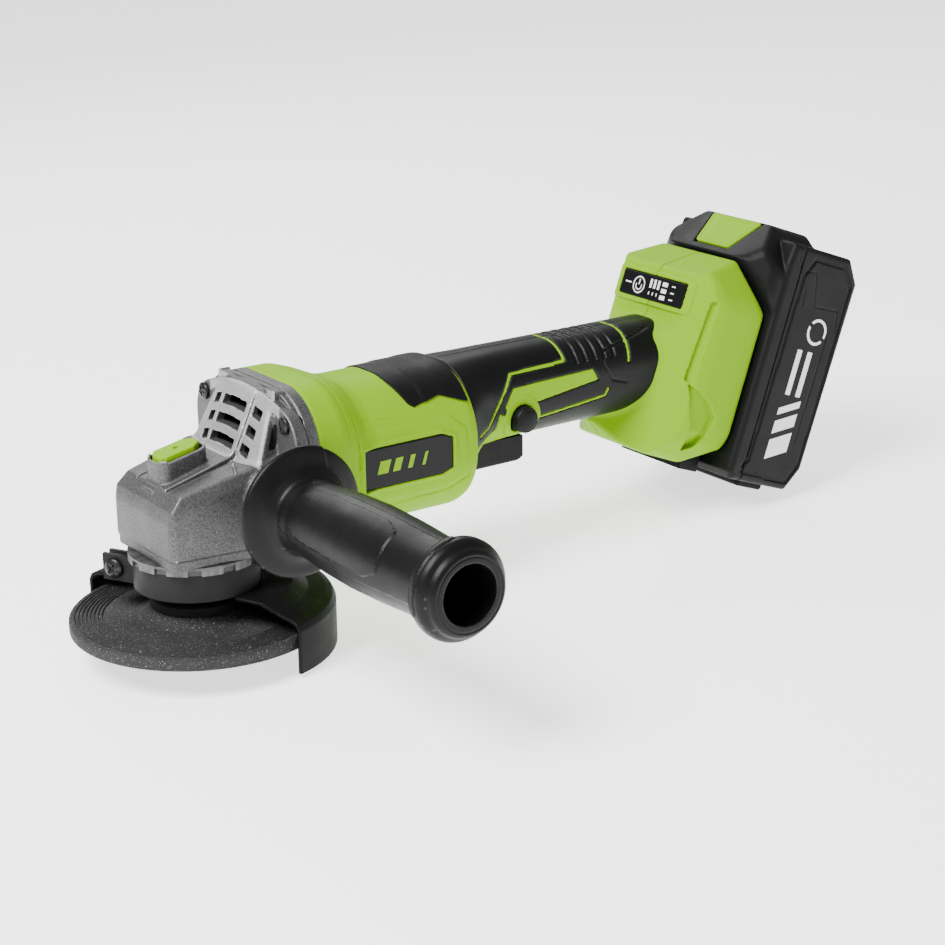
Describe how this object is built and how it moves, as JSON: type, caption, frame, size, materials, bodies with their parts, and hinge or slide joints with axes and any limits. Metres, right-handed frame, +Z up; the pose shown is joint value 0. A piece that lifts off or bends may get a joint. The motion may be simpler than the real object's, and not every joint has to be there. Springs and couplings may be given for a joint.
{
  "type": "cordless angle grinder",
  "caption": "Cordless angle grinder with a depressed-centre wheel, swivelling guard, screw-in side handle, barrel handle with paddle trigger and slide-on battery.",
  "frame": {"origin": "on the spindle axis, in the plane of the wheel's grinding face", "axes": "+X back along the motor to the battery, +Z up the spindle into the gear case, side handle on the -Y side"},
  "size_m": [0.3639, 0.2102, 0.1316],
  "materials": {
    "cast_case": "sand-cast, fine grain, bead-blasted",
    "black_metal": "satin black coating",
    "steel": "machined",
    "bronze": "sintered bronze",
    "lime_shell": "satin moulded lime green",
    "black_plastic": "fine moulded texture",
    "grip_rubber": "soft-touch overmould",
    "lamination": "stacked electrical steel",
    "copper": "enamelled copper wire",
    "board": "circuit board",
    "clear_window": "smoked clear panel",
    "brass": "stamped contacts",
    "abrasive": "resin-bonded grit",
    "cell_sleeve": "shrink sleeve"
  },
  "bodies": {
    "housing": {"gear_case": "cast_case", "bearing_retainer": "cast_case", "gear_case_screws": "black_metal", "spindle_bearing_outer": "steel", "bearing_circlip": "black_metal", "spindle_bush": "bronze", "motor_bearing_outer_races": "steel", "motor_housing": "lime_shell", "housing_saddle": "black_plastic", "name_plates": "black_plastic", "stator_core": "lamination", "stator_windings": "copper", "handle_shell_left": "lime_shell", "handle_shell_right": "lime_shell", "grip_cover_left": "grip_rubber", "grip_cover_right": "grip_rubber", "shell_screws": "steel", "switch_module": "black_plastic", "motor_controller": "board", "display_window": "clear_window", "display_board": "board", "terminal_block": "black_plastic", "terminal_blades": "brass", "trigger_pin": "steel", "dock_foot": "grip_rubber", "spindle_lock_spring": "steel", "trigger_spring": "steel", "lock_off_spring": "steel"},
    "guard": {"guard": "black_metal", "guard_clamp_band": "black_metal", "guard_clamp_screw": "black_metal", "guard_clamp_nut": "steel"},
    "spindle": {"spindle": "steel", "driven_gear": "steel", "gear_spacer": "steel", "inner_flange": "black_metal", "grinding_wheel": "abrasive", "outer_flange_nut": "black_metal", "spindle_bearing_inner": "steel", "spindle_bearing_balls": "steel"},
    "rotor": {"motor_shaft": "steel", "rotor_core": "lamination", "rotor_magnets": "black_metal", "cooling_fan": "black_plastic", "pinion": "steel", "motor_bearing_inner_races": "steel", "motor_bearing_balls": "steel"},
    "spindle_lock": {"spindle_lock_button": "lime_shell", "spindle_lock_pin": "steel"},
    "side_handle": {"side_grip": "grip_rubber", "side_stud": "steel"},
    "trigger": {"trigger": "black_plastic"},
    "lock_off": {"lock_off_button": "black_plastic"},
    "battery": {"battery_front_case": "black_plastic", "battery_rear_case": "black_plastic", "battery_cells": "cell_sleeve", "battery_board": "board", "battery_contacts": "brass", "release_spring": "steel"},
    "release": {"battery_release_button": "lime_shell"}
  },
  "joints": [
    {"name": "spindle_spin", "type": "hinge", "parent": "housing", "child": "spindle", "pos_m": [0, 0, 0], "axis": [0, 0, 1], "continuous": true},
    {"name": "motor_spin", "type": "hinge", "parent": "housing", "child": "rotor", "pos_m": [0.02, 0, 0.0575], "axis": [1, 0, 0], "continuous": true},
    {"name": "guard_swivel", "type": "hinge", "parent": "housing", "child": "guard", "pos_m": [0, 0, 0.02], "axis": [0, 0, 1], "range_deg": [-60, 90]},
    {"name": "spindle_lock_press", "type": "slide", "parent": "housing", "child": "spindle_lock", "axis": [0, 0, -1], "range_m": [0, 0.004], "stiffness_N_per_m": 400, "springref_m": -0.004, "deforming": ["spindle_lock_spring"]},
    {"name": "trigger_press", "type": "hinge", "parent": "housing", "child": "trigger", "pos_m": [0.117, 0, 0.0505], "axis": [0, -1, 0], "range_deg": [0, 5], "stiffness_Nm_per_rad": 1.2, "springref_deg": -8.59, "deforming": ["trigger_spring"]},
    {"name": "lock_off_press", "type": "slide", "parent": "housing", "child": "lock_off", "axis": [0, 1, 0], "range_m": [0, 0.003], "stiffness_N_per_m": 300, "springref_m": -0.004, "deforming": ["lock_off_spring"]},
    {"name": "battery_slide", "type": "slide", "parent": "housing", "child": "battery", "axis": [0.342, 0, 0.9397], "range_m": [0, 0.07]},
    {"name": "battery_release_press", "type": "slide", "parent": "battery", "child": "release", "axis": [0.5215, 0, -0.8532], "range_m": [0, 0.0024], "stiffness_N_per_m": 500, "springref_m": -0.004, "deforming": ["release_spring"]},
    {"name": "side_handle_out", "type": "slide", "parent": "housing", "child": "side_handle", "axis": [0, -1, 0], "range_m": [0, 0.013]}
  ],
  "couplings": [
    {"joint": "motor_spin", "follows": "spindle_spin", "ratio": 3.0909}
  ]
}
